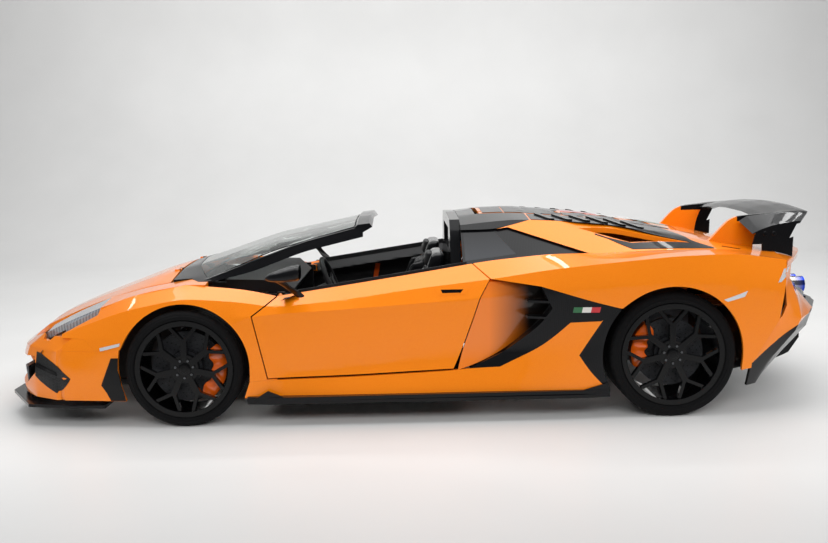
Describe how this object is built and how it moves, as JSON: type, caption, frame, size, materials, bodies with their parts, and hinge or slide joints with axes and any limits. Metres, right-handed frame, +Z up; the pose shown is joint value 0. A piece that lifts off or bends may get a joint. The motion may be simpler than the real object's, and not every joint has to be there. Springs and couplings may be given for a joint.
{
  "type": "two-seat open mid-engined supercar",
  "caption": "Low wedge-shaped two-seat roadster with its roof off, lifting doors, a mid-mounted engine under a louvred cover and a tall rear aerofoil on legs",
  "frame": {"origin": "on the ground under the middle of the car's length, on its centre plane", "axes": "+X to the tail, +Y to the car's right-hand side, +Z up"},
  "size_m": [4.943, 2.26, 1.136],
  "materials": {
    "paint": "gloss",
    "carbon": "gloss",
    "black_trim": "matte",
    "glass": "gloss",
    "lamp": "gloss",
    "lamp_red": "gloss",
    "tyre": "matte",
    "wheel": "gloss",
    "disc": "satin",
    "caliper": "gloss",
    "steel": "satin",
    "exhaust": "polished",
    "engine": "satin",
    "leather": "matte"
  },
  "bodies": {
    "chassis": {"front_frame": "steel", "front_bumper": "paint", "front_vanes": "carbon", "front_splitter": "carbon", "front_fenders": "paint", "rockers": "paint", "rear_quarters": "paint", "side_intakes": "paint", "intake_trims": "carbon", "side_skirts": "carbon", "rear_deck": "paint", "roof_surround": "carbon", "rear_bumper": "paint", "tail_panel": "carbon", "tail_lamps": "lamp_red", "rear_diffuser": "carbon", "rear_wing": "carbon", "windscreen_frame": "carbon", "windscreen": "glass", "rear_bulkhead": "carbon", "cabin_glass": "glass", "monocoque_tub": "carbon", "seats": "leather", "dashboard": "leather", "steering_wheel": "black_trim", "headlamps": "lamp", "exhaust": "exhaust", "engine": "engine", "suspension": "steel", "rear_uprights": "steel", "rear_frame": "steel", "lid_hinges": "steel", "rear_calipers": "caliper"},
    "bonnet": {"bonnet": "paint"},
    "engine_cover": {"engine_cover": "paint"},
    "door_left": {"door_left": "paint", "mirror_left": "carbon"},
    "door_right": {"door_right": "paint", "mirror_right": "carbon"},
    "knuckle_left": {"upright_front_left": "steel", "caliper_front_left": "caliper"},
    "knuckle_right": {"upright_front_right": "steel", "caliper_front_right": "caliper"},
    "wheel_front_left": {"tyre_front_left": "tyre", "rim_front_left": "wheel", "disc_front_left": "disc"},
    "wheel_front_right": {"tyre_front_right": "tyre", "rim_front_right": "wheel", "disc_front_right": "disc"},
    "wheel_rear_left": {"tyre_rear_left": "tyre", "rim_rear_left": "wheel", "disc_rear_left": "disc"},
    "wheel_rear_right": {"tyre_rear_right": "tyre", "rim_rear_right": "wheel", "disc_rear_right": "disc"}
  },
  "joints": [
    {"name": "steer_left", "type": "hinge", "parent": "chassis", "child": "knuckle_left", "pos_m": [-1.3215, -0.776, 0.326], "axis": [0, 0, 1], "range_deg": [-32, 32]},
    {"name": "steer_right", "type": "hinge", "parent": "chassis", "child": "knuckle_right", "pos_m": [-1.3215, 0.776, 0.326], "axis": [0, 0, 1], "range_deg": [-32, 32]},
    {"name": "spin_front_left", "type": "hinge", "parent": "knuckle_left", "child": "wheel_front_left", "pos_m": [-1.3215, -0.86, 0.326], "axis": [0, 1, 0], "continuous": true},
    {"name": "spin_front_right", "type": "hinge", "parent": "knuckle_right", "child": "wheel_front_right", "pos_m": [-1.3215, 0.86, 0.326], "axis": [0, 1, 0], "continuous": true},
    {"name": "spin_rear_left", "type": "hinge", "parent": "chassis", "child": "wheel_rear_left", "pos_m": [1.3785, -0.84, 0.35], "axis": [0, 1, 0], "continuous": true},
    {"name": "spin_rear_right", "type": "hinge", "parent": "chassis", "child": "wheel_rear_right", "pos_m": [1.3785, 0.84, 0.35], "axis": [0, 1, 0], "continuous": true},
    {"name": "door_left_lift", "type": "hinge", "parent": "chassis", "child": "door_left", "pos_m": [-0.7995, -0.775, 0.7], "axis": [0, -0.9903, -0.1392], "range_deg": [0, 68]},
    {"name": "door_right_lift", "type": "hinge", "parent": "chassis", "child": "door_right", "pos_m": [-0.7995, 0.775, 0.7], "axis": [0, -0.9903, 0.1392], "range_deg": [0, 68]},
    {"name": "bonnet_lift", "type": "hinge", "parent": "chassis", "child": "bonnet", "pos_m": [-1.4585, 0, 0.811], "axis": [0, 1, 0], "range_deg": [0, 55]},
    {"name": "engine_cover_lift", "type": "hinge", "parent": "chassis", "child": "engine_cover", "pos_m": [0.3745, 0, 1.101], "axis": [0, -1, 0], "range_deg": [0, 50]}
  ],
  "couplings": [
    {"joint": "steer_right", "follows": "steer_left", "ratio": 1}
  ]
}
